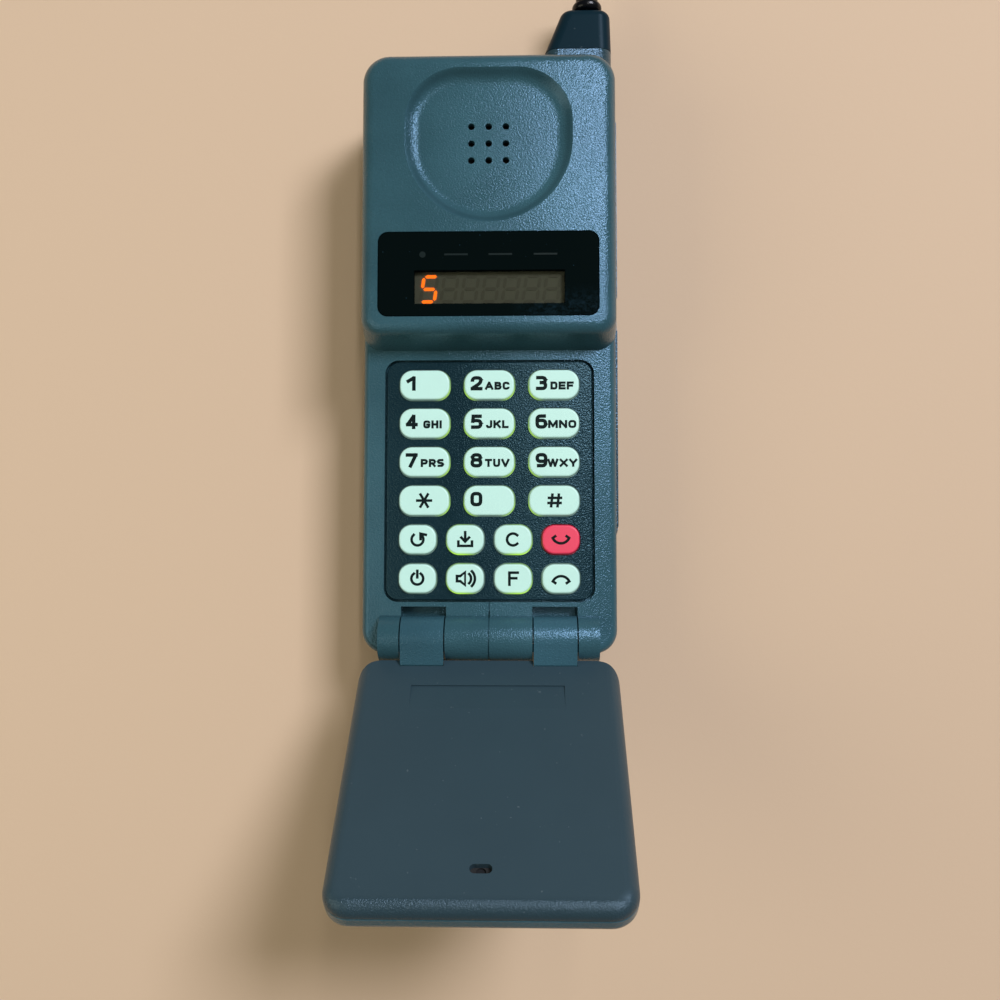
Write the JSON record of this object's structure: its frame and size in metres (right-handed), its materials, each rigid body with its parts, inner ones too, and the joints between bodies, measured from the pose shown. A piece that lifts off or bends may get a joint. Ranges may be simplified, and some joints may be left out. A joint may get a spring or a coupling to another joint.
{
  "type": "flip phone",
  "caption": "Hand-held phone lying on its battery: hinged flip under a back-lit keypad, raised head with display and ear dish, telescopic antenna.",
  "frame": {"origin": "centre of the battery's flat back, on which the phone lies", "axes": "+X to the right of the keypad, +Y along the phone towards the antenna, +Z out of the keypad"},
  "size_m": [0.063, 0.2149, 0.0713],
  "materials": {
    "housing_plastic": "grained moulded plastic, slate blue-grey",
    "bezel_plastic": "grained moulded plastic, near black",
    "silicone": "translucent silicone",
    "clear_plastic": "clear light guide",
    "window_plastic": "polished smoked acrylic",
    "led_module": "resin digit module",
    "circuit_board": "green solder mask",
    "dark_plastic": "moulded black plastic",
    "foam_rubber": "foam rubber",
    "chip_resin": "moulded resin",
    "tinned_steel": "tinned sheet",
    "contact_brass": "gold-plated",
    "plated_steel": "zinc-plated",
    "boot_plastic": "smooth dark moulded plastic",
    "tube_brass": "drawn tube",
    "mast_chrome": "polished",
    "knob_plastic": "polished black",
    "flip_shell_plastic": "grained moulded plastic",
    "flip_cover_plastic": "fine satin moulded plastic",
    "flex_film": "polyimide film",
    "magnet_metal": "nickel-plated",
    "battery_plastic": "grained moulded plastic",
    "cell_metal": "sleeved can",
    "latch_plastic": "ribbed moulded plastic",
    "pale_key": "translucent back-lit plastic",
    "red_key": "translucent back-lit plastic"
  },
  "bodies": {
    "phone": {"front_housing": "housing_plastic", "rear_housing": "housing_plastic", "keypad_bezel": "bezel_plastic", "keypad_mat": "silicone", "light_guide": "clear_plastic", "display_window": "window_plastic", "led_display": "led_module", "display_board": "circuit_board", "earpiece": "dark_plastic", "earpiece_gasket": "foam_rubber", "logic_board": "circuit_board", "processor_chips": "chip_resin", "ringer": "dark_plastic", "hook_switch": "chip_resin", "radio_board": "circuit_board", "shield_cans": "tinned_steel", "board_connectors": "dark_plastic", "accessory_connector": "dark_plastic", "contact_block": "dark_plastic", "phone_contacts": "contact_brass", "housing_screws": "plated_steel", "hinge_pins": "plated_steel", "hinge_spring": "plated_steel", "antenna_boot": "boot_plastic", "antenna_tube": "tube_brass", "antenna_clip": "tube_brass"},
    "flip": {"flip_outer_shell": "flip_shell_plastic", "flip_inner_cover": "flip_cover_plastic", "microphone": "tinned_steel", "microphone_boot": "foam_rubber", "microphone_flex": "flex_film", "flip_magnet": "magnet_metal"},
    "antenna": {"antenna_mast": "mast_chrome", "antenna_knob": "knob_plastic"},
    "battery": {"battery_case": "battery_plastic", "battery_lid": "battery_plastic", "battery_cells": "cell_metal", "battery_board": "circuit_board", "battery_contacts": "contact_brass"},
    "battery_latch": {"battery_latch": "latch_plastic"},
    "key_1": {"key_1": "pale_key"},
    "key_2": {"key_2": "pale_key"},
    "key_3": {"key_3": "pale_key"},
    "key_4": {"key_4": "pale_key"},
    "key_5": {"key_5": "pale_key"},
    "key_6": {"key_6": "pale_key"},
    "key_7": {"key_7": "pale_key"},
    "key_8": {"key_8": "pale_key"},
    "key_9": {"key_9": "pale_key"},
    "key_star": {"key_star": "pale_key"},
    "key_0": {"key_0": "pale_key"},
    "key_hash": {"key_hash": "pale_key"},
    "key_recall": {"key_recall": "pale_key"},
    "key_store": {"key_store": "pale_key"},
    "key_clear": {"key_clear": "pale_key"},
    "key_send": {"key_send": "red_key"},
    "key_power": {"key_power": "pale_key"},
    "key_volume": {"key_volume": "pale_key"},
    "key_function": {"key_function": "pale_key"},
    "key_end": {"key_end": "pale_key"}
  },
  "joints": [
    {"name": "flip_hinge", "type": "hinge", "parent": "phone", "child": "flip", "pos_m": [0, -0.0776, 0.0235], "axis": [-1, 0, 0], "range_deg": [0, 131.5]},
    {"name": "antenna_slide", "type": "slide", "parent": "phone", "child": "antenna", "axis": [0, 1, 0], "range_m": [0, 0.09]},
    {"name": "battery_slide", "type": "slide", "parent": "phone", "child": "battery", "axis": [0, -1, 0], "range_m": [0, 0.012]},
    {"name": "battery_latch_slide", "type": "slide", "parent": "battery", "child": "battery_latch", "axis": [0, -1, 0], "range_m": [0, 0.0025], "stiffness_N_per_m": 600},
    {"name": "key_1_press", "type": "slide", "parent": "phone", "child": "key_1", "axis": [0, 0, -1], "range_m": [0, 0.0006], "stiffness_N_per_m": 2500},
    {"name": "key_2_press", "type": "slide", "parent": "phone", "child": "key_2", "axis": [0, 0, -1], "range_m": [0, 0.0006], "stiffness_N_per_m": 2500},
    {"name": "key_3_press", "type": "slide", "parent": "phone", "child": "key_3", "axis": [0, 0, -1], "range_m": [0, 0.0006], "stiffness_N_per_m": 2500},
    {"name": "key_4_press", "type": "slide", "parent": "phone", "child": "key_4", "axis": [0, 0, -1], "range_m": [0, 0.0006], "stiffness_N_per_m": 2500},
    {"name": "key_5_press", "type": "slide", "parent": "phone", "child": "key_5", "axis": [0, 0, -1], "range_m": [0, 0.0006], "stiffness_N_per_m": 2500},
    {"name": "key_6_press", "type": "slide", "parent": "phone", "child": "key_6", "axis": [0, 0, -1], "range_m": [0, 0.0006], "stiffness_N_per_m": 2500},
    {"name": "key_7_press", "type": "slide", "parent": "phone", "child": "key_7", "axis": [0, 0, -1], "range_m": [0, 0.0006], "stiffness_N_per_m": 2500},
    {"name": "key_8_press", "type": "slide", "parent": "phone", "child": "key_8", "axis": [0, 0, -1], "range_m": [0, 0.0006], "stiffness_N_per_m": 2500},
    {"name": "key_9_press", "type": "slide", "parent": "phone", "child": "key_9", "axis": [0, 0, -1], "range_m": [0, 0.0006], "stiffness_N_per_m": 2500},
    {"name": "key_star_press", "type": "slide", "parent": "phone", "child": "key_star", "axis": [0, 0, -1], "range_m": [0, 0.0006], "stiffness_N_per_m": 2500},
    {"name": "key_0_press", "type": "slide", "parent": "phone", "child": "key_0", "axis": [0, 0, -1], "range_m": [0, 0.0006], "stiffness_N_per_m": 2500},
    {"name": "key_hash_press", "type": "slide", "parent": "phone", "child": "key_hash", "axis": [0, 0, -1], "range_m": [0, 0.0006], "stiffness_N_per_m": 2500},
    {"name": "key_recall_press", "type": "slide", "parent": "phone", "child": "key_recall", "axis": [0, 0, -1], "range_m": [0, 0.0006], "stiffness_N_per_m": 2500},
    {"name": "key_store_press", "type": "slide", "parent": "phone", "child": "key_store", "axis": [0, 0, -1], "range_m": [0, 0.0006], "stiffness_N_per_m": 2500},
    {"name": "key_clear_press", "type": "slide", "parent": "phone", "child": "key_clear", "axis": [0, 0, -1], "range_m": [0, 0.0006], "stiffness_N_per_m": 2500},
    {"name": "key_send_press", "type": "slide", "parent": "phone", "child": "key_send", "axis": [0, 0, -1], "range_m": [0, 0.0006], "stiffness_N_per_m": 2500},
    {"name": "key_power_press", "type": "slide", "parent": "phone", "child": "key_power", "axis": [0, 0, -1], "range_m": [0, 0.0006], "stiffness_N_per_m": 2500},
    {"name": "key_volume_press", "type": "slide", "parent": "phone", "child": "key_volume", "axis": [0, 0, -1], "range_m": [0, 0.0006], "stiffness_N_per_m": 2500},
    {"name": "key_function_press", "type": "slide", "parent": "phone", "child": "key_function", "axis": [0, 0, -1], "range_m": [0, 0.0006], "stiffness_N_per_m": 2500},
    {"name": "key_end_press", "type": "slide", "parent": "phone", "child": "key_end", "axis": [0, 0, -1], "range_m": [0, 0.0006], "stiffness_N_per_m": 2500}
  ]
}
